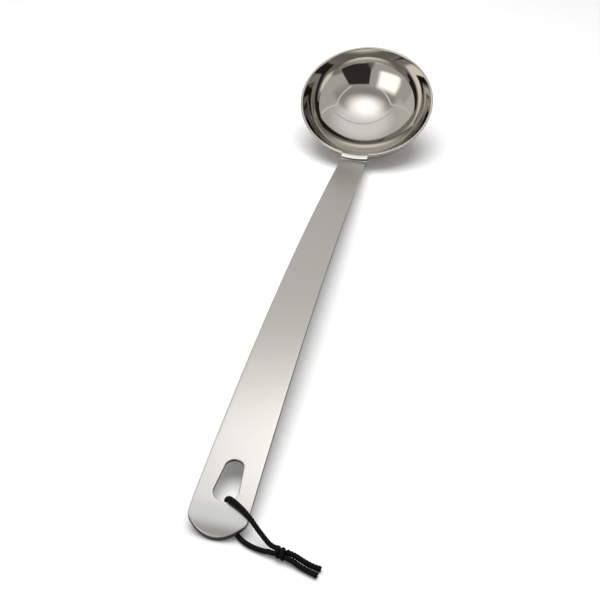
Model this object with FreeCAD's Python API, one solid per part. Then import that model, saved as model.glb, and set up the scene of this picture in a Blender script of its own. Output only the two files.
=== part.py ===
import FreeCAD, Part
import math
import os

# A small serving ladle pressed from one sheet of stainless steel, with a thin braided cord
# knotted through its hanging slot. It lies on a table as it comes to rest, on the bottom of
# its bowl and on the down-curved end of its handle.
# Millimetres, Z up, the table at Z = 0. The origin is on the table below the middle of the
# ladle's length, the bowl lies towards +Y and the handle's end towards -Y.

# Sheet
sheet = 1.1
edge_round = 0.3

# Bowl, by the bends of its polished inner face from the middle outwards
bottom_radius = 38.0
bottom_slope = 37.0
wall_radius = 20.3
wall_slope = 70.0
wall_flat = 4.6
rim_round = 0.45

# Lip over the root of the handle
lip_sink = 0.5
lip_bend_radius = 1.5
lip_reach = 1.8
lip_drop = 0.6
root_length = 2.5

# Handle in side view
neck_bend_radius = 3.0
neck_bend = 36.0
arch_radius = 960.0
arch_length = 228.0
tip_radius = 17.5
tip_bend = 42.5

# Handle from above
neck_width = 12.4
tip_width = 19.5
tip_bulge = 4.6
tip_corner_round = 3.5

# Hanging slot from above
slot_from_tip = 10.6
slot_length = 17.2
slot_tip_radius = 4.1
slot_bowl_radius = 3.1

# Cord and its knot
cord_diameter = 1.8
cord_gap = 0.03
knot_length = 4.8
knot_diameter = 4.2
knot_round = 0.2

# What follows from the sizes above
sin_bottom, cos_bottom = math.sin(math.radians(bottom_slope)), math.cos(math.radians(bottom_slope))
sin_wall, cos_wall = math.sin(math.radians(wall_slope)), math.cos(math.radians(wall_slope))
inner_radius = bottom_radius * sin_bottom + wall_radius * (sin_wall - sin_bottom) + wall_flat * cos_wall
rim_radius = inner_radius + sheet * sin_wall
bowl_depth = bottom_radius * (1 - cos_bottom) + wall_radius * (cos_bottom - cos_wall) + wall_flat * sin_wall
wall_centre = ((bottom_radius - wall_radius) * sin_bottom,
               bottom_radius - bowl_depth - (bottom_radius - wall_radius) * cos_bottom)
lip_radius = rim_radius + lip_reach
trim_turn = math.degrees(2 * sheet / tip_radius)


def turned(point, angle):
    """A point of a drawing turned about its origin by an angle in degrees."""
    c = math.cos(math.radians(angle))
    s = math.sin(math.radians(angle))
    return (point[0] * c - point[1] * s, point[0] * s + point[1] * c)


class Strip:
    """Section of a bent sheet, drawn along its upper face as flat stretches and bends."""

    def __init__(self, start):
        self.point = start
        self.heading = 0.0
        self.upper = []
        self.lower = []

    def line(self, length):
        """A flat stretch."""
        run = turned((length, 0.0), self.heading)
        down = turned((0.0, -sheet), self.heading)
        end = (self.point[0] + run[0], self.point[1] + run[1])
        self.upper.append((self.point, None, end))
        self.lower.append(((self.point[0] + down[0], self.point[1] + down[1]), None,
                           (end[0] + down[0], end[1] + down[1])))
        self.point = end

    def bend(self, radius, turn):
        """A bend of the upper face, upwards where its turn in degrees is positive."""
        side = math.copysign(1.0, turn)
        reach = turned((0.0, side * radius), self.heading)
        centre = (self.point[0] + reach[0], self.point[1] + reach[1])

        def on_bend(share, depth):
            spoke = turned((0.0, -side * radius - depth), self.heading + share * turn)
            return (centre[0] + spoke[0], centre[1] + spoke[1])

        self.upper.append(tuple(on_bend(share, 0.0) for share in (0.0, 0.5, 1.0)))
        self.lower.append(tuple(on_bend(share, sheet) for share in (0.0, 0.5, 1.0)))
        self.point = on_bend(1.0, 0.0)
        self.heading += turn

    def face(self, place):
        """The closed section as a face, each drawn point put in space by place."""
        runs = self.upper + self.lower
        runs.append((self.upper[0][0], None, self.lower[0][0]))
        runs.append((self.upper[-1][2], None, self.lower[-1][2]))
        edges = []
        for start, middle, end in runs:
            if middle is None:
                edges.append(Part.makeLine(place(start), place(end)))
            else:
                edges.append(Part.Arc(place(start), place(middle), place(end)).toShape())
        return Part.Face(Part.Wire(Part.__sortEdges__(edges)))


def bowl_section(flat):
    """Spherical bottom, tighter wall and its straight upper part, from the axis outwards."""
    section = Strip((0.0, -bowl_depth))
    section.bend(bottom_radius, bottom_slope)
    section.bend(wall_radius, wall_slope - bottom_slope)
    section.line(flat)
    return section


def lip_section():
    """The bowl's section at the handle, where the wall is turned outwards into the lip."""
    bend_rise = lip_bend_radius * (1 - cos_wall)
    section = bowl_section(wall_flat - (lip_sink + bend_rise) / sin_wall)
    section.bend(lip_bend_radius, -wall_slope)
    section.line(lip_radius - lip_drop - section.point[0])
    return section


def handle_section(spare_turn):
    """Root under the lip, bend up, long arch and the end curled down by its turn and a spare one."""
    section = Strip((lip_radius - lip_drop - root_length, -lip_sink - lip_drop))
    section.line(root_length)
    section.bend(neck_bend_radius, neck_bend)
    section.bend(arch_radius, -math.degrees(arch_length / arch_radius))
    section.bend(tip_radius, -tip_bend - spare_turn)
    return section


def resting_tilt():
    """Turn of the rim, in degrees, at which bowl and handle end touch one flat table."""
    tip = handle_section(0.0).lower[-1][2]
    ball_height = bottom_radius - bowl_depth
    away = math.hypot(tip[0], tip[1] - ball_height)
    bearing = math.atan2(tip[1] - ball_height, tip[0])
    return math.degrees(bearing + math.asin((bottom_radius + sheet) / away))


tilt = resting_tilt()
sin_tilt, cos_tilt = math.sin(math.radians(tilt)), math.cos(math.radians(tilt))
rim_height = bottom_radius + sheet - (bottom_radius - bowl_depth) * cos_tilt


def distance_out(point):
    """How far in front of the rim's middle a point of the handle's side view rests."""
    return point[0] * cos_tilt + point[1] * sin_tilt


far_edge = wall_centre[0] * cos_tilt - wall_centre[1] * sin_tilt + wall_radius + sheet
tip_out = distance_out(handle_section(0.0).lower[-1][2])
rim_middle = (tip_out - far_edge) / 2
tip_y = rim_middle - tip_out
lip_y = rim_middle - distance_out((lip_radius, -lip_sink))
cut_height = 4 * rim_height


def rest(shape):
    """Lay down a shape that was drawn about the rim's own axis."""
    shape.rotate(FreeCAD.Vector(0, 0, 0), FreeCAD.Vector(1, 0, 0), tilt)
    shape.translate(FreeCAD.Vector(0, rim_middle, rim_height))
    return shape


def across(point):
    """A point of the bowl's section, in the plane through the rim's axis and X."""
    return FreeCAD.Vector(point[0], 0, point[1])


def along(point):
    """A point of the handle's side view, which runs out along -Y."""
    return FreeCAD.Vector(0, -point[0], point[1])


def upright_prism(edges):
    """A closed outline drawn at the bottom of the cutting space, pulled up through it."""
    return Part.Face(Part.Wire(edges)).extrude(FreeCAD.Vector(0, 0, 2 * cut_height))


def make_plan():
    """The handle's outline from above: a flared strip with a rounded end."""
    half_neck = neck_width / 2
    half_tip = tip_width / 2
    back = lip_y + root_length + lip_reach
    corner = tip_y + tip_bulge
    outline = [FreeCAD.Vector(-half_tip, corner, -cut_height),
               FreeCAD.Vector(-half_neck, lip_y, -cut_height),
               FreeCAD.Vector(-half_neck, back, -cut_height),
               FreeCAD.Vector(half_neck, back, -cut_height),
               FreeCAD.Vector(half_neck, lip_y, -cut_height),
               FreeCAD.Vector(half_tip, corner, -cut_height)]
    edges = [Part.makeLine(start, end) for start, end in zip(outline, outline[1:])]
    front = FreeCAD.Vector(0, tip_y, -cut_height)
    edges.append(Part.Arc(outline[-1], front, outline[0]).toShape())
    prism = upright_prism(edges)
    corners = [edge for edge in prism.Edges
               if is_upright(edge) and abs(edge.CenterOfMass.y - corner) < sheet / 10]
    return prism.makeFillet(tip_corner_round, corners)


def make_slot():
    """The hanging slot: two round ends, the wider one towards the handle's end."""
    tip_end = tip_y + slot_from_tip
    bowl_end = tip_end + slot_length
    tip_centre = tip_end + slot_tip_radius
    bowl_centre = bowl_end - slot_bowl_radius
    lean = math.asin((slot_tip_radius - slot_bowl_radius) / (bowl_centre - tip_centre))

    def tangent_point(side, radius, centre):
        return FreeCAD.Vector(side * radius * math.cos(lean), centre + radius * math.sin(lean), -cut_height)

    tip_left = tangent_point(-1, slot_tip_radius, tip_centre)
    tip_right = tangent_point(1, slot_tip_radius, tip_centre)
    bowl_left = tangent_point(-1, slot_bowl_radius, bowl_centre)
    bowl_right = tangent_point(1, slot_bowl_radius, bowl_centre)
    return upright_prism([
        Part.Arc(tip_left, FreeCAD.Vector(0, tip_end, -cut_height), tip_right).toShape(),
        Part.makeLine(tip_right, bowl_right),
        Part.Arc(bowl_right, FreeCAD.Vector(0, bowl_end, -cut_height), bowl_left).toShape(),
        Part.makeLine(bowl_left, tip_left)])


def is_upright(edge):
    """True for an edge that runs straight up."""
    return abs(edge.tangentAt((edge.FirstParameter + edge.LastParameter) / 2).z) > 0.99


def is_wall(face):
    """True for a face that stands straight up."""
    u_low, u_high, v_low, v_high = face.ParameterRange
    return abs(face.normalAt((u_low + u_high) / 2, (v_low + v_high) / 2).z) < 1e-4


def revolved(section):
    """A section turned once round the rim's axis."""
    return section.face(across).revolve(FreeCAD.Vector(0, 0, 0), FreeCAD.Vector(0, 0, 1), 360)


def make_neck_block():
    """A block as wide as the neck, over the bowl's side towards the handle."""
    return Part.makeBox(neck_width, 2 * lip_radius, 2 * cut_height,
                        FreeCAD.Vector(-neck_width / 2, -2 * lip_radius - wall_centre[0], -cut_height))


def make_bowl():
    """The round bowl with its rim's cut edge rounded, open at the neck."""
    bowl = revolved(bowl_section(wall_flat))
    lengths = (2 * math.pi * inner_radius, 2 * math.pi * rim_radius)
    cut_edges = [edge for edge in bowl.Edges
                 if min(abs(edge.Length - length) for length in lengths) < sheet / 10]
    return rest(bowl.makeFillet(rim_round, cut_edges).cut(make_neck_block()).Solids[0])


def make_neck():
    """The part of the bowl at the neck, where its wall is turned out into the lip."""
    lip = revolved(lip_section()).fuse(make_nose()).removeSplitter()
    return rest(lip.common(make_neck_block()).Solids[0])


def make_nose():
    """The lip's round nose, a ring in front of its flat."""
    flat_end = lip_radius - lip_drop
    nose_share = lip_drop * math.sqrt(0.5)
    corners = [across((lip_radius, -lip_sink - lip_drop)), across((lip_radius, -lip_sink - sheet)),
               across((flat_end, -lip_sink - sheet)), across((flat_end, -lip_sink))]
    edges = [Part.makeLine(start, end) for start, end in zip(corners, corners[1:])]
    nose = across((flat_end + nose_share, nose_share - lip_sink - lip_drop))
    edges.append(Part.Arc(corners[-1], nose, corners[0]).toShape())
    section = Part.Face(Part.Wire(edges))
    return section.revolve(FreeCAD.Vector(0, 0, 0), FreeCAD.Vector(0, 0, 1), 360)


def make_handle():
    """The arched handle: its side view pulled across, cut to its outline and slot, edges rounded."""
    side_view = handle_section(trim_turn).face(along)
    side_view.translate(FreeCAD.Vector(-tip_width, 0, 0))
    strap = rest(side_view.extrude(FreeCAD.Vector(2 * tip_width, 0, 0)))
    blank = strap.common(make_plan()).cut(make_slot())
    round_from = lip_y - neck_bend_radius
    root_block = Part.makeBox(2 * tip_width, 2 * lip_radius, 2 * cut_height,
                              FreeCAD.Vector(-tip_width, round_from, -cut_height))
    handle = blank.cut(root_block)
    rounded = [edge for wall in handle.Faces if is_wall(wall) for edge in wall.Edges
               if not is_upright(edge) and edge.CenterOfMass.y < round_from - edge_round]
    return handle.makeFillet(edge_round, rounded).fuse(blank.common(root_block)).Solids[0]


def make_cord(name, points):
    """A round cord along straight runs joined by tangent arcs as wide as the runs allow."""
    route = [FreeCAD.Vector(*point) for point in points]
    edges = []
    radii = []
    start = route[0]
    for before, point, after in zip(route, route[1:], route[2:]):
        back = (before - point).normalize()
        ahead = (after - point).normalize()
        half_turn = (math.pi - back.getAngle(ahead)) / 2
        trim = 0.45 * min((before - point).Length, (after - point).Length)
        radius = trim / math.tan(half_turn)
        middle = point + (back + ahead).normalize() * (radius / math.cos(half_turn) - radius)
        edges.append(Part.makeLine(start, point + back * trim))
        edges.append(Part.Arc(point + back * trim, middle, point + ahead * trim).toShape())
        start = point + ahead * trim
        radii.append(round(radius, 1))
    edges.append(Part.makeLine(start, route[-1]))
    path = Part.Wire(edges)
    ring = Part.Circle(route[0], route[1] - route[0], cord_diameter / 2).toShape()
    cord = path.makePipeShell([Part.Wire(ring)], True, True)
    share = cord.Volume / (math.pi * cord_diameter ** 2 / 4 * path.Length)
    print(f"{name}: length {path.Length:.1f}, volume over section times length {share:.4f}, radii {radii}")
    return cord


# The knot lies on the table. Its two strands enter and leave side by side, each through a point
# off the knot's axis, and over_side is the strand that comes over the handle.
knot_axis = FreeCAD.Vector(0.968, -0.250, 0.0).normalize()
knot_centre = FreeCAD.Vector(22.0, -150.6, knot_diameter / 2)
over_side = FreeCAD.Vector(0.218, 0.843, 0.492).normalize() * ((cord_diameter + cord_gap) / 2)


def at_knot(side, end, run):
    """A point of the strand on one side, beyond one end of the knot by a run."""
    point = knot_centre + over_side * side + knot_axis * (end * (knot_length / 2 + run))
    return (point.x, point.y, point.z)


loop_route = [at_knot(1, -1, 0.0), at_knot(1, -1, 1.6), (16.7, -147.8, 3.1), (13.4, -145.5, 4.65),
              (10.2, -143.0, 6.46), (7.3, -141.0, 7.62), (4.7, -139.3, 8.04), (2.6, -138.0, 8.14),
              (1.3, -137.1, 7.1), (0.9, -136.8, 5.4), (1.0, -137.2, 3.6), (1.6, -138.8, 2.2),
              (2.9, -141.0, 1.3), (4.9, -143.8, 0.95), (7.4, -146.5, 0.95), (10.2, -148.4, 0.95),
              (13.4, -149.6, 1.0), (16.6, -150.3, 1.2), at_knot(-1, -1, 1.6), at_knot(-1, -1, 0.0)]
over_end_route = [at_knot(1, 1, 0.0), at_knot(1, 1, 1.6), (28.8, -151.5, 1.6), (31.6, -152.3, 1.0),
                  (34.6, -152.9, 0.95)]
under_end_route = [at_knot(-1, 1, 0.0), at_knot(-1, 1, 1.6), (28.3, -153.6, 1.1),
                   (31.1, -154.7, 0.95), (34.0, -155.6, 0.95)]


def make_knot():
    """The knot as a plain barrel of the size that the turns of cord make."""
    start = knot_centre - knot_axis * (knot_length / 2)
    barrel = Part.makeCylinder(knot_diameter / 2, knot_length, start, knot_axis)
    return barrel.makeFillet(knot_round, [edge for edge in barrel.Edges if edge.isClosed()]).Solids[0]


pieces = {
    "ladle": make_bowl().fuse([make_neck(), make_handle()]).removeSplitter().Solids[0],
    "cord_loop": make_cord("cord_loop", loop_route),
    "cord_knot": make_knot(),
    "cord_end_over": make_cord("cord_end_over", over_end_route),
    "cord_end_under": make_cord("cord_end_under", under_end_route),
}

os.makedirs("parts", exist_ok=True)
for name, piece in pieces.items():
    piece.exportStep("parts/" + name + ".step")
print(f"rim radius {rim_radius:.2f}, bowl depth {bowl_depth:.2f}, tilt {tilt:.2f}, rim height {rim_height:.2f}")
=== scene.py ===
import math

import bmesh
import bpy
import numpy as np
from mathutils import Matrix, Vector


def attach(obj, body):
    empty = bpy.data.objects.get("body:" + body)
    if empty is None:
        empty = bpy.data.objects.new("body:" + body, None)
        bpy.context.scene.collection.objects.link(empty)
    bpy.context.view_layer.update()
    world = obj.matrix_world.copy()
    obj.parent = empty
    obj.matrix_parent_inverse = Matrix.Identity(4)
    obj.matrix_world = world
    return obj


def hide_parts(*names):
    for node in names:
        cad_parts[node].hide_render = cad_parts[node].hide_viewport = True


# A small serving ladle of pressed steel, with a knotted cord through its hanging slot.
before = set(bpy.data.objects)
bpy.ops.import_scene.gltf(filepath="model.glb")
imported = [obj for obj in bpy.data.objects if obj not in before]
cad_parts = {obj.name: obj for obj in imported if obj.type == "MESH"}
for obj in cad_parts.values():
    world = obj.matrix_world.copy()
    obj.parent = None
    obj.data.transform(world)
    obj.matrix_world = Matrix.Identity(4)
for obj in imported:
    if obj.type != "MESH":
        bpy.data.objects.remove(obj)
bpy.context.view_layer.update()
mm = 0.001


def rad(degrees):
    return math.radians(degrees)


# camera, fitted to the photograph
view = {
    "place": (0.07158, -0.37583, 0.26311),
    "aim": (-0.00184, -0.01798, 0.0),
    "fieldOfView": 30.0,
    "roll": 1.710,
    "sensor": 36.0, "clipStart": 0.01, "clipEnd": 20.0,
}


def makeCamera(p):
    data = bpy.data.cameras.new("photoView")
    data.sensor_width = p["sensor"]
    data.sensor_fit = "HORIZONTAL"
    data.lens = data.sensor_width / 2 / math.tan(rad(p["fieldOfView"]) / 2)
    data.clip_start = p["clipStart"]
    data.clip_end = p["clipEnd"]
    camera = bpy.data.objects.new("photoView", data)
    bpy.context.scene.collection.objects.link(camera)
    forward = (Vector(p["aim"]) - Vector(p["place"])).normalized()
    level = forward.cross(Vector((0, 0, 1))).normalized()
    up = level.cross(forward)
    turn = rad(p["roll"])
    right = level * math.cos(turn) + up * math.sin(turn)
    up = up * math.cos(turn) - level * math.sin(turn)
    camera.matrix_world = Matrix((
        (right.x, up.x, -forward.x, p["place"][0]),
        (right.y, up.y, -forward.y, p["place"][1]),
        (right.z, up.z, -forward.z, p["place"][2]),
        (0, 0, 0, 1)))
    bpy.context.scene.camera = camera


makeCamera(view)
print("camera set")

# ladle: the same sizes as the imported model, in millimetres and degrees
ladle = {
    "sheet": 1.1, "edgeRound": 0.3,
    "bottomRadius": 38.0, "bottomSlope": 37.0,
    "wallRadius": 20.3, "wallSlope": 70.0, "wallFlat": 4.6, "rimRound": 0.45,
    "lipSink": 0.5, "lipBend": 1.5, "lipReach": 1.8, "lipDrop": 0.6, "rootLength": 2.5,
    "neckRadius": 3.0, "neckBend": 36.0,
    "archRadius": 960.0, "archLength": 228.0,
    "tipRadius": 17.5, "tipBend": 42.5, "spareTurn": 7.2,
    "neckWidth": 12.4, "tipWidth": 19.5, "tipBulge": 4.6, "tipCorner": 3.5,
    "slotFromTip": 10.6, "slotLength": 17.2, "slotTipRadius": 4.1, "slotBowlRadius": 3.1,
    "tilt": 29.2205, "rimHeight": 24.476, "rimY": 119.477, "tipY": -148.895,
    # fineness of the mesh
    "bottomSteps": 40, "wallSteps": 30, "flatSteps": 5, "edgeRows": 6,
    "lipSteps": 12, "shelfSteps": 3, "noseSteps": 9,
    "rootSteps": 40, "neckSteps": 90, "archSteps": 2400, "tipSteps": 700, "solveSteps": 60,
    "lipColumns": 24, "aroundColumns": 264, "neckRows": 36, "handleRows": 110, "sideRows": 56,
    "cornerRows": 20, "frontRows": 40, "slotRows": 27, "slotRowSpread": 0.9,
    "cutShares": (0.0, 0.5), "cutBackShares": (0.66, 0.33, 0.0),
    "rootShares": (0.0, 0.35, 0.7, 0.9), "rootOut": (-0.25, 0.05, 0.65),
    # where the handle's rows begin, where they are close, and where they give way to the end's
    "rowsGap": 0.05, "closeRows": 5.0, "pastSlot": 9.0, "roundingRun": 4.0, "leastRounding": 0.12,
    "weld": 0.002, "speck": 0.0001, "sharpAngle": 40,
}


# bent sheet in side view: its upper and lower face as rows of points
class Sheet:
    def __init__(self, start, thick):
        self.at = np.array(start, float)
        self.heading = 0.0
        self.thick = thick
        self.upper = [self.at.copy()]
        self.lower = [self.at + (0.0, -thick)]

    def turned(self, x, y, angle):
        c, s = math.cos(angle), math.sin(angle)
        return np.array((x * c - y * s, x * s + y * c))

    def straight(self, length, steps):
        begin = self.at.copy()
        for k in range(1, steps + 1):
            self.at = begin + self.turned(length * k / steps, 0.0, self.heading)
            self.upper.append(self.at.copy())
            self.lower.append(self.at + self.turned(0.0, -self.thick, self.heading))
        return self

    def bend(self, radius, degrees, steps):
        side = math.copysign(1.0, degrees)
        centre = self.at + self.turned(0.0, side * radius, self.heading)
        begin = self.heading
        for k in range(1, steps + 1):
            self.heading = begin + rad(degrees) * k / steps
            self.at = centre + self.turned(0.0, -side * radius, self.heading)
            self.upper.append(self.at.copy())
            self.lower.append(self.at + self.turned(0.0, -self.thick, self.heading))
        return self


# points about the rim's own axis (x, out along the handle, up), put where the ladle rests
def laidDown(p, points):
    x, out, up = points[..., 0], points[..., 1], points[..., 2]
    c, s = math.cos(rad(p["tilt"])), math.sin(rad(p["tilt"]))
    return np.stack([x, p["rimY"] - out * c - up * s, p["rimHeight"] - out * s + up * c], -1)


# faces of a grid of points, row by row
def quads(rows, closed=False):
    tall, wide = rows.shape[:2]
    index = np.arange(tall * wide).reshape(tall, wide)
    if closed:
        index = np.concatenate([index, index[:, :1]], 1)
    a, b, c, d = index[:-1, :-1], index[:-1, 1:], index[1:, 1:], index[1:, :-1]
    return rows.reshape(-1, 3), np.stack([a, b, c, d], -1).reshape(-1, 4).tolist()


def makeLadle(p):
    sheet, edge = p["sheet"], p["edgeRound"]
    patches = []

    # bowl, up to the level where the lip is turned out of its wall
    bottom, wall = rad(p["bottomSlope"]), rad(p["wallSlope"])
    depth = (p["bottomRadius"] * (1 - math.cos(bottom))
             + p["wallRadius"] * (math.cos(bottom) - math.cos(wall)) + p["wallFlat"] * math.sin(wall))
    bendRise = p["lipSink"] + p["lipBend"] * (1 - math.cos(wall))
    bowl = Sheet((0.0, -depth), sheet)
    bowl.bend(p["bottomRadius"], p["bottomSlope"], p["bottomSteps"])
    bowl.bend(p["wallRadius"], p["wallSlope"] - p["bottomSlope"], p["wallSteps"])
    bowl.straight(p["wallFlat"] - bendRise / math.sin(wall), p["flatSteps"])
    # the lower face stops two rows short, where the rim's cut edge takes over
    upper, lower = np.array(bowl.upper), np.array(bowl.lower[:-2])
    along = np.array((math.cos(wall), math.sin(wall)))
    outward = np.array((math.sin(wall), -math.cos(wall)))
    inner = bowl.at + along * bendRise / math.sin(wall)
    outer = inner + outward * sheet
    lipRadius = outer[0] + p["lipReach"]

    share = np.linspace(-1.0, 1.0, p["lipColumns"] + 1)
    neck = p["neckWidth"] / 2

    def spread(radius):
        lip = np.arcsin(share * neck / radius)
        return lip, np.linspace(lip[-1], 2 * math.pi + lip[0], p["aroundColumns"] + 1)

    def spun(section, angles):
        r, z = section[:, :1], section[:, 1:]
        return np.stack([r * np.sin(angles), r * np.cos(angles), z + 0 * angles], -1)

    for section in (upper, lower):
        lip, around = spread(section[-1, 0])
        patches.append(quads(laidDown(p, spun(section, np.concatenate([lip, around[1:-1]]))), closed=True))

    # rounded cut edge of the rim, from one side of the lip round to the other
    turn = np.linspace(0, math.pi / 2, p["edgeRows"])
    size = p["rimRound"]
    cut = [upper[-1] + (inner - along * size - upper[-1]) * t for t in p["cutShares"]]
    cut += [inner + (outward - along) * size + (along * math.sin(a) - outward * math.cos(a)) * size
            for a in turn]
    cut += [outer - (outward + along) * size + (along * math.cos(a) + outward * math.sin(a)) * size
            for a in turn]
    cut += [lower[-1] + (outer - along * size - lower[-1]) * t for t in p["cutBackShares"]]
    cut = np.array(cut)
    change = np.linspace(0, 1, len(cut))[:, None]
    edgeRows = spun(cut, spread(upper[-1, 0])[1] * (1 - change) + spread(lower[-1, 0])[1] * change)
    for column, side in ((0, 1), (-1, -1)):
        edgeRows[:, column, 0] = side * neck
        edgeRows[:, column, 1] = np.sqrt(cut[:, 0] ** 2 - neck ** 2)
    patches.append(quads(laidDown(p, edgeRows)))

    # handle in side view, as heights over the table
    rootTop = -p["lipSink"] - p["lipDrop"]
    side = Sheet((lipRadius - p["lipDrop"] - p["rootLength"], rootTop), sheet)
    side.straight(p["rootLength"], p["rootSteps"])
    side.bend(p["neckRadius"], p["neckBend"], p["neckSteps"])
    side.bend(p["archRadius"], -math.degrees(p["archLength"] / p["archRadius"]), p["archSteps"])
    side.bend(p["tipRadius"], -p["tipBend"] - p["spareTurn"], p["tipSteps"])

    def heights(face):
        face = np.array(face)
        world = laidDown(p, np.stack([0 * face[:, 0], face[:, 0], face[:, 1]], -1))
        order = np.argsort(world[:, 1])
        return world[order, 1], world[order, 2]

    topY, topZ = heights(side.upper)
    lowY, lowZ = heights(side.lower)

    def over(y):
        return np.interp(y, topY, topZ)

    def under(y):
        return np.interp(y, lowY, lowZ)

    # lip: the wall turned out, a flat, then a round nose down to the handle
    flat = lipRadius - p["lipDrop"]
    x = share * neck

    def lipRow(r, z):
        return np.stack([x, np.sqrt(r ** 2 - x ** 2), z + 0 * x], -1)

    def noseRow(turned):
        return lipRow(flat + p["lipDrop"] * np.sin(turned), rootTop + p["lipDrop"] * np.cos(turned))

    last = np.full_like(x, math.pi / 2)
    for _ in range(p["solveSteps"]):
        out = np.sqrt((flat + p["lipDrop"] * np.sin(last)) ** 2 - x ** 2)
        rise = np.maximum(out - flat, 0) ** 2 / 2 / p["neckRadius"]
        last = np.arccos(np.clip(rise / p["lipDrop"], 0, 1))
    bowl.bend(p["lipBend"], -p["wallSlope"], p["lipSteps"])
    bowl.straight(flat - bowl.at[0], p["shelfSteps"])
    lipRows = [lipRow(r, z) for r, z in bowl.upper[len(upper) - 1:]]
    lipRows += [noseRow(last * k / p["noseSteps"]) for k in range(1, p["noseSteps"] + 1)]
    lipRows = laidDown(p, np.array(lipRows))
    patches.append(quads(lipRows))

    # handle from above
    lipY = laidDown(p, np.array((0.0, lipRadius, -p["lipSink"])))[1]
    cornerY = p["tipY"] + p["tipBulge"]
    flare = (p["tipWidth"] / 2 - neck) / (lipY - cornerY)

    def half(y):
        return neck + np.maximum(lipY - y, 0) * flare

    startY = lipY - p["rowsGap"]
    bendEnd = startY - p["closeRows"]
    splitY = p["tipY"] + p["slotFromTip"] + p["slotLength"] + p["pastSlot"]
    rowsY = np.concatenate([np.linspace(startY, bendEnd, p["neckRows"]),
                            np.linspace(bendEnd, splitY, p["handleRows"])[1:]])
    rounding = np.clip((startY - rowsY) / p["roundingRun"], p["leastRounding"], 1.0) * edge

    def across(height):
        plan = np.stack([share[None, :] * (half(rowsY) - rounding)[:, None],
                         np.repeat(rowsY[:, None], len(share), 1)], -1)
        return np.concatenate([plan, height(plan[..., 1])[..., None]], -1)

    patches.append(quads(np.concatenate([lipRows[-1:], across(over)])))
    rootLevel = rootTop - sheet
    fall = (outer - lower[-1]) * (rootLevel - lower[-1, 1]) / (outer[1] - lower[-1, 1])
    rootRows = [lipRow(*(lower[-1] + fall * k)) for k in p["rootShares"]]
    rootRows += [lipRow(outer[0] + out, rootLevel) for out in p["rootOut"]]
    rootRows = laidDown(p, np.array(rootRows))
    patches.append(quads(np.concatenate([rootRows, across(under)])))

    # outline round the end: side, corner, front, corner, side
    frontRadius = ((p["tipWidth"] / 2) ** 2 + p["tipBulge"] ** 2) / 2 / p["tipBulge"]
    frontY = p["tipY"] + frontRadius
    lean = math.atan(flare)
    corner = p["tipCorner"]
    low, high = p["tipY"], splitY
    for _ in range(p["solveSteps"]):
        y = (low + high) / 2
        if math.hypot(half(y) - corner / math.cos(lean), y - frontY) > frontRadius - corner and y < frontY:
            low = y
        else:
            high = y
    cx, cy = half(y) - corner / math.cos(lean), y
    cornerEnd = math.atan2(frontY - cy, cx)
    sideStop = cy + corner * math.sin(lean)
    outline, normals = [], []
    for y in np.linspace(splitY, sideStop, p["sideRows"]):
        outline.append((half(y), y))
        normals.append((math.cos(lean), math.sin(lean)))
    for a in np.linspace(lean, -cornerEnd, p["cornerRows"])[1:]:
        outline.append((cx + corner * math.cos(a), cy + corner * math.sin(a)))
        normals.append((math.cos(a), math.sin(a)))
    for a in np.linspace(-cornerEnd, -math.pi / 2, p["frontRows"])[1:]:
        outline.append((frontRadius * math.cos(a), frontY + frontRadius * math.sin(a)))
        normals.append((math.cos(a), math.sin(a)))
    outline, normals = np.array(outline), np.array(normals)
    mirror = np.array((-1.0, 1.0))
    tipOutline = np.concatenate([outline, (outline * mirror)[-2::-1]])
    tipNormals = np.concatenate([normals, (normals * mirror)[-2::-1]])

    # rows from the upper face over the rounded cut edge to the lower face
    def edgeStrip(plan, normal, size):
        size = np.broadcast_to(size, plan.shape[:1])[:, None]
        rows = []
        for a in turn:
            at = plan - normal * size * (1 - math.sin(a))
            rows.append(np.concatenate([at, over(at[:, 1:]) - size * (1 - math.cos(a))], -1))
        for a in turn[::-1]:
            at = plan - normal * size * (1 - math.sin(a))
            rows.append(np.concatenate([at, under(at[:, 1:]) + size * (1 - math.cos(a))], -1))
        return np.array(rows)

    for sign in (1, -1):
        plan = np.stack([sign * half(rowsY), rowsY], -1)
        strip = edgeStrip(plan, np.array((sign, 0.0)), rounding)
        patches.append(quads(strip))
        # flat side of the lip, from the rim's cut edge to the handle's first section
        rimEnd, lipEnd = (0, -1) if sign == 1 else (-1, 0)
        loop = [*laidDown(p, edgeRows)[:, rimEnd], *rootRows[1:, lipEnd],
                *strip[::-1, 0], *lipRows[:0:-1, lipEnd]]
        patches.append((np.array(loop), [list(range(len(loop)))]))
    normalsAt = tipNormals.copy()
    normalsAt[0], normalsAt[-1] = (1.0, 0.0), (-1.0, 0.0)
    patches.append(quads(edgeStrip(tipOutline, normalsAt, edge)))

    # slot outline
    tipEnd = p["tipY"] + p["slotFromTip"]
    tipCentre = tipEnd + p["slotTipRadius"]
    bowlCentre = tipEnd + p["slotLength"] - p["slotBowlRadius"]
    slotLean = math.asin((p["slotTipRadius"] - p["slotBowlRadius"]) / (bowlCentre - tipCentre))
    slotMiddle = tipEnd + p["slotLength"] / 2

    # point and outward normal of the slot's outline on a ray from its middle
    def slotAt(direction):
        dx, dy = direction
        best = None
        ends = ((bowlCentre, p["slotBowlRadius"], 1), (tipCentre, p["slotTipRadius"], -1))
        for centre, radius, sign in ends:
            oy = slotMiddle - centre
            b = dy * oy
            disc = b * b - (oy * oy - radius * radius)
            if disc > 0:
                t = -b + math.sqrt(disc)
                px, py = t * dx, oy + t * dy
                if sign * (py - radius * math.sin(slotLean)) >= -1e-9:
                    best = ((t * dx, slotMiddle + t * dy), (px / radius, py / radius))
        if best is None:
            s = math.copysign(1.0, dx)
            nx, ny = s * math.cos(slotLean), math.sin(slotLean)
            t = (p["slotBowlRadius"] - ny * (slotMiddle - bowlCentre)) / (dx * nx + dy * ny)
            best = ((t * dx, slotMiddle + t * dy), (nx, ny))
        return best

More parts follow.
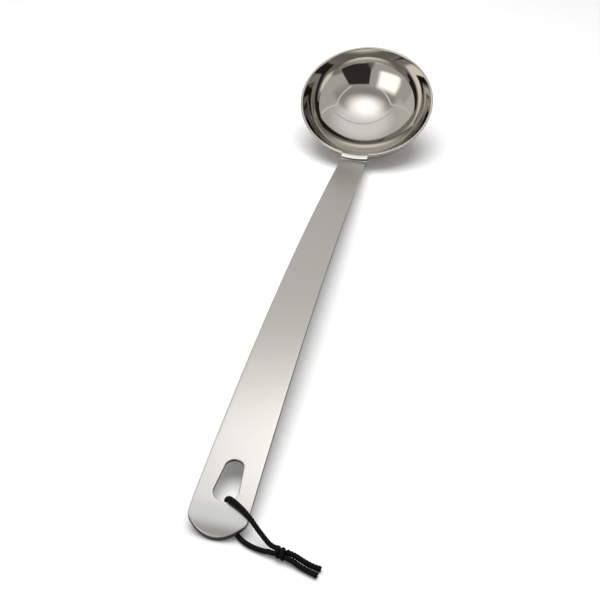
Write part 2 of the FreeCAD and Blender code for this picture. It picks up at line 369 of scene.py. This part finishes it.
    backLine = np.stack([share[1:-1] * (half(splitY) - edge), np.full(len(share) - 2, splitY)], -1)
    outerLoop = np.concatenate([tipOutline - normalsAt * edge, backLine])
    away = outerLoop - (0.0, slotMiddle)
    away /= np.linalg.norm(away, axis=1)[:, None]
    found = [slotAt(d) for d in away]
    slotPlan = np.array([f[0] for f in found])
    slotNormal = -np.array([f[1] for f in found])
    innerLoop = slotPlan - slotNormal * edge
    for height in (over, under):
        rows = []
        for t in np.linspace(0, 1, p["slotRows"]) ** p["slotRowSpread"]:
            plan = outerLoop * (1 - t) + innerLoop * t
            rows.append(np.concatenate([plan, height(plan[:, 1:])], -1))
        patches.append(quads(np.array(rows), closed=True))
    patches.append(quads(edgeStrip(slotPlan, slotNormal, edge), closed=True))

    verts, faces = [], []
    count = 0
    for points, cells in patches:
        verts.append(points)
        faces += [[i + count for i in cell] for cell in cells]
        count += len(points)
    mesh = bpy.data.meshes.new("ladleSteel")
    mesh.from_pydata((np.concatenate(verts) * mm).tolist(), [], faces)
    bm = bmesh.new()
    bm.from_mesh(mesh)
    bmesh.ops.remove_doubles(bm, verts=bm.verts, dist=p["weld"] * mm)
    bmesh.ops.dissolve_degenerate(bm, edges=bm.edges, dist=p["speck"] * mm)
    bmesh.ops.recalc_face_normals(bm, faces=bm.faces)
    bm.to_mesh(mesh)
    bm.free()
    mesh.shade_smooth()
    mesh.set_sharp_from_angle(angle=rad(p["sharpAngle"]))
    obj = bpy.data.objects.new("ladleSteel", mesh)
    bpy.context.scene.collection.objects.link(obj)
    return obj


steel = makeLadle(ladle)
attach(steel, "root")
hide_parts("ladle")
print("ladle made, faces", len(steel.data.polygons))


# one wrapper for nodes, and one for sums with their sockets
class Tree:
    def __init__(self, nodeTree):
        self.nodeTree = nodeTree

    def add(self, kind, feeds=(), **settings):
        node = self.nodeTree.nodes.new(kind)
        for key, value in settings.items():
            setattr(node, key, value)
        for where, value in dict(feeds).items():
            self.feed(node.inputs[where], value)
        return node

    def feed(self, socket, value):
        value = getattr(value, "socket", value)
        if isinstance(value, bpy.types.NodeSocket):
            self.nodeTree.links.new(value, socket)
        else:
            socket.default_value = value

    def read(self, kind, output, feeds=(), **settings):
        return Value(self, self.add(kind, feeds, **settings).outputs[output])

    def split(self, vector):
        node = self.add("ShaderNodeSeparateXYZ", {0: vector})
        return [Value(self, socket) for socket in node.outputs]

    def vector(self, operation, *operands):
        return self.read("ShaderNodeVectorMath", 0, dict(enumerate(operands)), operation=operation)

    def scaled(self, vector, factor):
        return self.read("ShaderNodeVectorMath", 0, {0: vector, "Scale": factor}, operation="SCALE")

    def blend(self, factor, first, second):
        return self.read("ShaderNodeMix", 2, {0: factor, 6: first, 7: second}, data_type="RGBA")


class Value:
    def __init__(self, tree, socket):
        self.tree = tree
        self.socket = socket

    def sum(self, operation, *operands):
        feeds = dict(enumerate((self,) + operands))
        return self.tree.read("ShaderNodeMath", 0, feeds, operation=operation)

    def __add__(self, other):
        return self.sum("ADD", other)

    __radd__ = __add__

    def __mul__(self, other):
        return self.sum("MULTIPLY", other)

    __rmul__ = __mul__

    def __sub__(self, other):
        return self.sum("SUBTRACT", other)

    def __rsub__(self, other):
        return self * -1.0 + other

    def __truediv__(self, other):
        return self.sum("DIVIDE", other)

    def smooth(self, low, high):
        feeds = {0: self, 1: low, 2: high}
        return self.tree.read("ShaderNodeMapRange", 0, feeds, interpolation_type="SMOOTHSTEP")

    def within(self, low, high, soft):
        return self.smooth(low - soft, low + soft) * (1 - self.smooth(high - soft, high + soft))


def newMaterial(name):
    material = bpy.data.materials.new(name)
    material.use_nodes = True
    return material, Tree(material.node_tree), material.node_tree.nodes["Principled BSDF"]


# steel: mirror polish on the bowl, satin on the lip and handle, and a darker colour on the satin's steep side
# faces, painted shade for the dark surroundings they reflect
steelLook = {
    "polished": (0.50, 0.475, 0.435, 1), "satin": (0.62, 0.60, 0.57, 1), "worn": (0.56, 0.54, 0.51, 1),
    # cut: painted shade for the steep side faces of the sheet, standing in for the dark they reflect
    "cut": (0.15, 0.145, 0.14, 1), "shadeFrom": 0.16, "shadeUntil": 0.66,
    "satinFrom": 32.5, "blendWidth": 0.12,
    "polishedRoughness": 0.035, "polishPlay": 0.02, "satinRoughness": 0.30, "roughnessPlay": 0.06,
    "grain": 0.22, "grainDetail": 2.0, "grainShare": 0.3, "grainHeight": 0.012, "grainStrength": 0.5,
    "drift": 26.0, "driftDetail": 3.0, "driftShare": 0.7,
}


def makeSteelMaterial(p, q):
    material, tree, shader = newMaterial("steel")
    place = tree.read("ShaderNodeTexCoord", "Object")
    x, y, z = tree.split(place)
    level = tree.split(tree.read("ShaderNodeTexCoord", "Normal"))[2]
    c, s = math.cos(rad(q["tilt"])), math.sin(rad(q["tilt"]))
    out = (y - q["rimY"] * mm) * c + (z - q["rimHeight"] * mm) * s
    fromAxis = (x * x + out * out).sum("SQRT")
    edge = p["satinFrom"] * mm
    satin = fromAxis.smooth(edge - p["blendWidth"] * mm, edge + p["blendWidth"] * mm)

    def noise(size, detail):
        feeds = {"Vector": place, "Scale": 1 / (size * mm), "Detail": detail}
        return tree.read("ShaderNodeTexNoise", 0, feeds)

    grain, drift = noise(p["grain"], p["grainDetail"]), noise(p["drift"], p["driftDetail"])
    satinColour = tree.blend(drift * p["driftShare"] + grain * p["grainShare"], p["satin"], p["worn"])
    # painted shade: faces that stand steep are darkened by their normal, in place of the dark surroundings
    # they reflect
    steepShade = (1 - level.sum("ABSOLUTE")).smooth(p["shadeFrom"], p["shadeUntil"])
    satinColour = tree.blend(steepShade, satinColour, p["cut"])
    tree.feed(shader.inputs["Base Color"], tree.blend(satin, p["polished"], satinColour))
    polished = drift * p["polishPlay"] + p["polishedRoughness"]
    rough = (grain + drift) * p["roughnessPlay"] + (p["satinRoughness"] - p["roughnessPlay"])
    tree.feed(shader.inputs["Roughness"], polished + (rough - polished) * satin)
    tree.feed(shader.inputs["Normal"], tree.read("ShaderNodeBump", 0, {
        "Strength": p["grainStrength"], "Distance": p["grainHeight"] * mm, "Height": grain * satin}))
    shader.inputs["Metallic"].default_value = 1.0
    return material


steel.data.materials.append(makeSteelMaterial(steelLook, ladle))
print("steel finished")

# cord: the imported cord's own routes, in metres
cord = {
    "diameter": 0.0018, "gap": 0.00003, "length": 0.052, "straight": 0.0016,
    "strandsEachWay": 4, "braidLay": 0.0040, "step": 0.00016, "strandSides": 8, "coreSides": 16,
    "ringRadius": 0.00059, "strandRadius": 0.00024, "wave": 0.00007, "coreRadius": 0.00070,
    "endScale": 1.06, "endLift": 0.00009, "endDraw": 0.00006,
    "flare": 0.00012, "flareFrom": 0.86,
    "routeSteps": 12, "routeOrder": 3,
}
knot = {
    "axis": (0.968, -0.250, 0.0), "centre": (0.0220, -0.1506, 0.0021), "over": (0.218, 0.843, 0.492),
    "length": 0.0048, "turns": 2, "pointsPerTurn": 14,
    "wrapRadius": 0.00120, "wrapScale": 0.97, "sunk": 0.0003, "inset": 0.0008, "waist": 0.0009,
}
knotAxis = Vector(knot["axis"]).normalized()
overSide = Vector(knot["over"]).normalized() * ((cord["diameter"] + cord["gap"]) / 2)
straight = cord["straight"]


def atKnot(side, end, run):
    return Vector(knot["centre"]) + overSide * side + knotAxis * (end * (knot["length"] / 2 + run))


loopRoute = [
    atKnot(1, -1, 0.0), atKnot(1, -1, straight), (0.0167, -0.1478, 0.0031), (0.0134, -0.1455, 0.00465),
    (0.0102, -0.1430, 0.00646), (0.0073, -0.1410, 0.00762), (0.0047, -0.1393, 0.00804),
    (0.0026, -0.1380, 0.00814), (0.0013, -0.1371, 0.0071), (0.0009, -0.1368, 0.0054),
    (0.0010, -0.1372, 0.0036), (0.0016, -0.1388, 0.0022), (0.0029, -0.1410, 0.0013),
    (0.0049, -0.1438, 0.00095), (0.0074, -0.1465, 0.00095), (0.0102, -0.1484, 0.00095),
    (0.0134, -0.1496, 0.0010), (0.0166, -0.1503, 0.0012), atKnot(-1, -1, straight), atKnot(-1, -1, 0.0),
]
overEndRoute = [
    atKnot(1, 1, 0.0), atKnot(1, 1, straight), (0.0288, -0.1515, 0.0016), (0.0316, -0.1523, 0.0010),
    (0.0346, -0.1529, 0.00095),
]
underEndRoute = [
    atKnot(-1, 1, 0.0), atKnot(-1, 1, straight), (0.0283, -0.1536, 0.0011), (0.0311, -0.1547, 0.00095),
    (0.0340, -0.1556, 0.00095),
]


def readRoute(p, points):
    curve = bpy.data.curves.new("route", "CURVE")
    curve.dimensions = "3D"
    curve.resolution_u = p["routeSteps"]
    spline = curve.splines.new("NURBS")
    spline.points.add(len(points) - 1)
    for point, at in zip(spline.points, points):
        point.co = (*at, 1.0)
    spline.order_u = p["routeOrder"]
    spline.use_endpoint_u = True
    obj = bpy.data.objects.new("route", curve)
    bpy.context.scene.collection.objects.link(obj)
    depsgraph = bpy.context.evaluated_depsgraph_get()
    mesh = bpy.data.meshes.new_from_object(obj.evaluated_get(depsgraph), depsgraph=depsgraph)
    line = [v.co.copy() for v in mesh.vertices]
    bpy.data.objects.remove(obj)
    bpy.data.curves.remove(curve)
    bpy.data.meshes.remove(mesh)
    return line


# inputs of the braid's node tree, and the cord's sizes that go into them
braidInputs = {
    "Step": "step", "Lay": "braidLay", "Ring Radius": "ringRadius", "Wave": "wave",
    "Strand Radius": "strandRadius", "Core Radius": "coreRadius",
}


def makeBraidNodes(p):
    group = bpy.data.node_groups.new("braid", "GeometryNodeTree")
    group.interface.new_socket("Geometry", in_out="INPUT", socket_type="NodeSocketGeometry")
    for name in (*braidInputs, "Scale", "Flare"):
        group.interface.new_socket(name, in_out="INPUT", socket_type="NodeSocketFloat")
    group.interface.new_socket("Material", in_out="INPUT", socket_type="NodeSocketMaterial")
    group.interface.new_socket("Geometry", in_out="OUTPUT", socket_type="NodeSocketGeometry")
    tree = Tree(group)
    given = tree.add("NodeGroupInput").outputs
    scale = Value(tree, given["Scale"])
    line = tree.read("GeometryNodeMeshToCurve", 0, {0: given["Geometry"]})
    line = tree.read("GeometryNodeResampleCurve", 0, {"Curve": line, "Length": given["Step"]}, mode="LENGTH")
    line = tree.read("GeometryNodeSetCurveNormal", 0, {"Curve": line}, mode="MINIMUM_TWIST")

    # strands: half turn each way, over and under each other at every crossing
    copies = tree.add("GeometryNodeDuplicateElements", {"Geometry": line, "Amount": 2 * p["strandsEachWay"]},
                      domain="SPLINE")
    index = Value(tree, copies.outputs[1])
    hand = 1 - index.sum("MODULO", 2.0) * 2
    phase = (index * 0.5).sum("FLOOR") * (2 * math.pi / p["strandsEachWay"])
    run = tree.add("GeometryNodeSplineParameter").outputs
    turn = Value(tree, run["Length"]) * (2 * math.pi) / given["Lay"] / scale
    angle = turn * hand + phase
    share = Value(tree, run["Factor"])
    spread = share.smooth(p["flareFrom"], 1.0) * given["Flare"]
    radius = (turn * p["strandsEachWay"]).sum("COSINE") * hand * given["Wave"] + given["Ring Radius"]
    radius = radius * scale + spread
    normal = tree.read("GeometryNodeInputNormal", 0)
    side = tree.vector("CROSS_PRODUCT", tree.read("GeometryNodeInputTangent", 0), normal)
    away = tree.vector("ADD", tree.scaled(normal, angle.sum("COSINE")), tree.scaled(side, angle.sum("SINE")))
    strands = tree.read("GeometryNodeSetPosition", 0, {"Geometry": copies.outputs[0],
                                                      "Offset": tree.scaled(away, radius)})

    def tube(curve, size, sides):
        ring = tree.read("GeometryNodeCurvePrimitiveCircle", 0, {"Resolution": sides, "Radius": size})
        feeds = {"Curve": curve, "Profile Curve": ring, "Fill Caps": True}
        return tree.read("GeometryNodeCurveToMesh", 0, feeds)

    joined = tree.add("GeometryNodeJoinGeometry")
    for part in (tube(strands, scale * given["Strand Radius"], p["strandSides"]),
                 tube(line, scale * given["Core Radius"], p["coreSides"])):
        tree.feed(joined.inputs[0], part)
    shape = tree.read("GeometryNodeSetShadeSmooth", 0, {"Geometry": joined.outputs[0]})
    shape = tree.read("GeometryNodeRealizeInstances", 0, {"Geometry": shape})
    shape = tree.read("GeometryNodeSetMaterial", 0, {"Geometry": shape, "Material": given["Material"]})
    tree.add("NodeGroupOutput", {0: shape})
    return group


# braid along each line of points, baked into one mesh
def braided(p, name, lines, group, material, scale=1.0, flare=0.0):
    mesh = bpy.data.meshes.new(name + "Path")
    points = [v for line in lines for v in line]
    edges, start = [], 0
    for line in lines:
        edges += [(start + i, start + i + 1) for i in range(len(line) - 1)]
        start += len(line)
    mesh.from_pydata(points, edges, [])
    source = bpy.data.objects.new(name + "Path", mesh)
    bpy.context.scene.collection.objects.link(source)
    modifier = source.modifiers.new("braid", "NODES")
    modifier.node_group = group
    values = {label: p[size] for label, size in braidInputs.items()}
    values.update({"Scale": scale, "Flare": flare, "Material": material})
    for item in group.interface.items_tree:
        if item.in_out == "INPUT" and item.name in values:
            modifier[item.identifier] = values[item.name]
    depsgraph = bpy.context.evaluated_depsgraph_get()
    baked = bpy.data.meshes.new_from_object(source.evaluated_get(depsgraph), depsgraph=depsgraph)
    baked.name = name
    bpy.data.objects.remove(source)
    bpy.data.meshes.remove(mesh)
    obj = bpy.data.objects.new(name, baked)
    bpy.context.scene.collection.objects.link(obj)
    return obj


cordLook = {
    "colour": (0.0012, 0.0011, 0.0010, 1), "worn": (0.006, 0.0055, 0.005, 1),
    "roughness": 0.5, "roughnessPlay": 0.2, "specular": 0.12,
    "yarn": 0.09, "yarnDetail": 3.0, "patch": 3.5, "patchDetail": 2.0, "fuzz": 0.02, "fuzzStrength": 0.6,
}


def makeCordMaterial(p):
    material, tree, shader = newMaterial("cord")
    place = tree.read("ShaderNodeTexCoord", "Object")

    def noise(size, detail):
        feeds = {"Vector": place, "Scale": 1 / (size * mm), "Detail": detail}
        return tree.read("ShaderNodeTexNoise", 0, feeds)

    yarn, patch = noise(p["yarn"], p["yarnDetail"]), noise(p["patch"], p["patchDetail"])
    tree.feed(shader.inputs["Base Color"], tree.blend((yarn + patch) * 0.5, p["colour"], p["worn"]))
    tree.feed(shader.inputs["Roughness"], yarn * p["roughnessPlay"] + p["roughness"])
    tree.feed(shader.inputs["Normal"], tree.read("ShaderNodeBump", 0, {
        "Strength": p["fuzzStrength"], "Distance": p["fuzz"] * mm, "Height": yarn}))
    shader.inputs["Specular IOR Level"].default_value = p["specular"]
    return material


def makeCord(p, q):
    group = makeBraidNodes(p)
    material = makeCordMaterial(cordLook)
    loopLine, overLine, underLine = (readRoute(p, r) for r in (loopRoute, overEndRoute, underEndRoute))
    # the cut ends are fuller, so they lie that much higher, and the knot draws them together
    across = (underLine[-1] - overLine[-1]).normalized() * p["endDraw"]
    rise = Vector((0, 0, p["endLift"]))
    overLine = [point + rise + across for point in overLine]
    underLine = [point + rise - across for point in underLine]
    loop = braided(p, "cordLoop", [loopLine], group, material)
    overEnd = braided(p, "cordEndOver", [overLine], group, material, p["endScale"], p["flare"])
    underEnd = braided(p, "cordEndUnder", [underLine], group, material, p["endScale"], p["flare"])

    # knot: the over strand wraps twice round both, the under strand runs through the middle
    side = overSide.normalized()
    up = knotAxis.cross(side)
    count = q["turns"] * q["pointsPerTurn"]
    wrap = [atKnot(1, -1, 0.0)]
    for i in range(count + 1):
        t = i / count
        angle = 2 * math.pi * q["turns"] * t
        along = (q["length"] / 2 - q["inset"]) * (2 * t - 1)
        wrap.append(Vector(q["centre"]) + knotAxis * along
                    + (side * math.cos(angle) + up * math.sin(angle)) * q["wrapRadius"])
    wrap.append(atKnot(1, 1, 0.0))
    middle = Vector(q["centre"]) - side * q["sunk"]
    waist = knotAxis * q["waist"]
    through = [atKnot(-1, -1, 0.0), middle - waist, middle + waist, atKnot(-1, 1, 0.0)]
    tie = braided(p, "cordKnot", [readRoute(p, wrap), readRoute(p, through)], group, material, q["wrapScale"])

    for piece, node in ((loop, "cord_loop"), (tie, "cord_knot"), (overEnd, "cord_end_over"),
                        (underEnd, "cord_end_under")):
        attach(piece, "root")
        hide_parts(node)
    print("cord made, faces", sum(len(o.data.polygons) for o in (loop, tie, overEnd, underEnd)))


makeCord(cord, knot)

# studio: plain floor, a soft panel overhead, one lamp for the shadows, and a tent of plain walls
studio = {
    "floorHalf": 6, "floorColour": (0.80, 0.80, 0.795, 1),
    "floorLift": 0.12, "lift": 1.04, "liftFrom": 0.35, "liftUntil": 0.75,
    "sheetMiddle": (0.0, 0.125), "sheetFrom": 0.045, "sheetUntil": 0.075,
    "panelPlace": (0.0, 0.040, 0.215), "panelRadius": 0.106, "panelSoft": 0.103,
    "panelLight": 2.4, "panelWiden": 1.35,
    "lampPlace": (-0.05, 0.06, 0.66), "lampSize": 0.70, "lampWatts": 5.6,
    "low": 0.60, "high": 1.05, "lowUntil": 40, "highFrom": 70, "dark": 0.50, "darkUntil": -4, "darkEnd": 14,
    "fill": 0.72, "fillUntil": 60, "shine": 1.14,
    "warm": (1.01, 1.0, 0.975, 1), "cool": (0.965, 1.0, 1.04, 1),
    # walls by direction: where azimuth counts from, its limits, the elevation's, softness, light, lean
    "walls": [
        ("back", -200, 200, -100, -32, 4, 0.24, 0),
        ("back", -150, -55, 0, 45, 4, 0.70, 0), ("back", 66, 148, 0, 40, 4, 0.60, 0),
        ("front", -60, 70, 33, 62, 9, 0.38, 0), ("front", -75, 8, -26, 34, 3, 0.55, 0),
        ("front", 1, 30, -26, 32, 1.2, 0.04, 0), ("front", 6, 36, -26, 32, 1.2, 0.04, 0.37),
        ("front", -49, -14, 0, 34, 5, 2.0, 0),
    ],
    # seams of the tent, seen as fine lines: front azimuth and elevation of both ends, light
    "seams": [
        (32, 34, 78, 50, 0.95), (78, 50, 118, 37, 0.95), (-56, 47, -11, 32, 1.1), (-102, 28, -56, 47, 0.85),
    ],
    "seamWidth": 0.9, "seamSoft": 0.8, "seamEndSoft": 1.0,
    # ridge of the tent overhead: a dark curve, by its slope in height, in x and in x squared
    "ridge": (0.07, 0.23, -0.35), "ridgeWidth": 0.012, "ridgeSoft": 0.006, "ridgeLight": 0.55,
    "ridgeFrom": 0.74, "ridgeUntil": 0.80,
}


def makePlane(name, half):
    mesh = bpy.data.meshes.new(name)
    corners = [(-half, -half, 0), (half, -half, 0), (half, half, 0), (-half, half, 0)]
    mesh.from_pydata(corners, [], [(0, 1, 2, 3)])
    obj = bpy.data.objects.new(name, mesh)
    bpy.context.scene.collection.objects.link(obj)
    material, tree, shader = newMaterial(name)
    tree.nodeTree.nodes.remove(shader)
    mesh.materials.append(material)
    return obj, tree, tree.nodeTree.nodes["Material Output"].inputs[0]


def mixed(tree, share, first, second):
    return tree.add("ShaderNodeMixShader", {0: share, 1: first, 2: second}).outputs[0]


def reachFrom(tree, middle):
    x, y = tree.split(tree.read("ShaderNodeTexCoord", "Object"))[:2]
    x, y = x - middle[0], y - middle[1]
    return (x * x + y * y).sum("SQRT")


def makeFloor(p):
    obj, tree, surface = makePlane("floor", p["floorHalf"])
    rays = tree.add("ShaderNodeLightPath").outputs
    seen = Value(tree, rays["Is Camera Ray"]).sum("MAXIMUM", rays["Is Glossy Ray"])
    reach = reachFrom(tree, p["sheetMiddle"])
    beyond = reach.smooth(p["sheetFrom"], p["sheetUntil"]) * rays["Is Glossy Ray"]
    lifted = reach.smooth(p["liftFrom"], p["liftUntil"]) * (1 - p["floorLift"]) + p["floorLift"]
    seen = seen.sum("MAXIMUM", rays["Is Transmission Ray"]) * lifted
    plain = tree.add("ShaderNodeBsdfDiffuse", {"Color": p["floorColour"]}).outputs[0]
    glow = tree.add("ShaderNodeEmission", {"Strength": p["lift"]}).outputs[0]
    clear = tree.add("ShaderNodeBsdfTransparent").outputs[0]
    tree.feed(surface, mixed(tree, beyond, mixed(tree, seen, plain, glow), clear))


def makePanel(p):
    obj, tree, surface = makePlane("panel", p["panelRadius"])
    obj.location = p["panelPlace"]
    obj.rotation_euler.x = math.pi
    obj.scale.x = p["panelWiden"]
    obj.visible_camera = False
    obj.visible_shadow = False
    inside = reachFrom(tree, (0, 0)).smooth(p["panelRadius"], p["panelRadius"] - p["panelSoft"])
    clear = tree.add("ShaderNodeBsdfTransparent").outputs[0]
    glow = tree.add("ShaderNodeEmission", {"Strength": p["panelLight"]}).outputs[0]
    tree.feed(surface, mixed(tree, inside, clear, glow))


def makeLamp(p):
    data = bpy.data.lights.new("softLamp", "AREA")
    data.shape = "DISK"
    data.size = p["lampSize"]
    data.energy = p["lampWatts"]
    obj = bpy.data.objects.new("softLamp", data)
    obj.location = p["lampPlace"]
    obj.rotation_euler = Vector(p["lampPlace"]).to_track_quat("Z", "Y").to_euler()
    obj.visible_glossy = False
    bpy.context.scene.collection.objects.link(obj)


def makeWorld(p):
    world = bpy.data.worlds.new("studio")
    bpy.context.scene.world = world
    world.use_nodes = True
    tree = Tree(world.node_tree)
    x, y, z = tree.split(tree.read("ShaderNodeTexCoord", "Generated"))
    degree = math.degrees(1)
    azimuth = {"back": x.sum("ARCTAN2", y) * degree, "front": x.sum("ARCTAN2", y * -1.0) * degree}
    elevation = z.sum("ARCSINE") * degree
    light = elevation.smooth(p["lowUntil"], p["highFrom"]) * (p["high"] - p["low"]) + p["low"]
    light = light * (elevation.smooth(p["darkUntil"], p["darkEnd"]) * (1 - p["dark"]) + p["dark"])
    for side, left, right, low, high, soft, level, lean in p["walls"]:
        across = azimuth[side] + (elevation - high) * lean
        mask = across.within(left, right, soft) * elevation.within(low, high, soft)
        light = light + (level - light) * mask
    for left, low, right, high, level in p["seams"]:
        across = azimuth["front"]
        line = elevation - (across - left) * ((high - low) / (right - left)) - low
        mask = line.within(-p["seamWidth"], p["seamWidth"], p["seamSoft"])
        mask = mask * across.within(left, right, p["seamEndSoft"])
        light = light + (level - light) * mask
    a, b, c = p["ridge"]
    ridge = y - z * a - x * b - x * x * c
    mask = ridge.within(-p["ridgeWidth"], p["ridgeWidth"], p["ridgeSoft"])
    mask = mask * z.smooth(p["ridgeFrom"], p["ridgeUntil"])
    light = light + (p["ridgeLight"] - light) * mask
    rays = tree.add("ShaderNodeLightPath").outputs
    glossy = Value(tree, rays["Is Glossy Ray"])
    fill = elevation.smooth(0, p["fillUntil"]) * p["fill"]
    light = light * (fill + (p["shine"] - fill) * glossy)
    light = light + (1 - light) * rays["Is Camera Ray"]
    tree.feed(world.node_tree.nodes["Background"].inputs["Strength"], light)
    tint = tree.blend(elevation.smooth(p["lowUntil"], p["highFrom"]), p["warm"], p["cool"])
    tint = tree.blend(rays["Is Glossy Ray"], (1, 1, 1, 1), tint)
    tree.feed(world.node_tree.nodes["Background"].inputs["Color"], tint)


makeFloor(studio)
makePanel(studio)
makeLamp(studio)
makeWorld(studio)
bpy.context.scene.view_settings.view_transform = "Standard"
print("studio made")
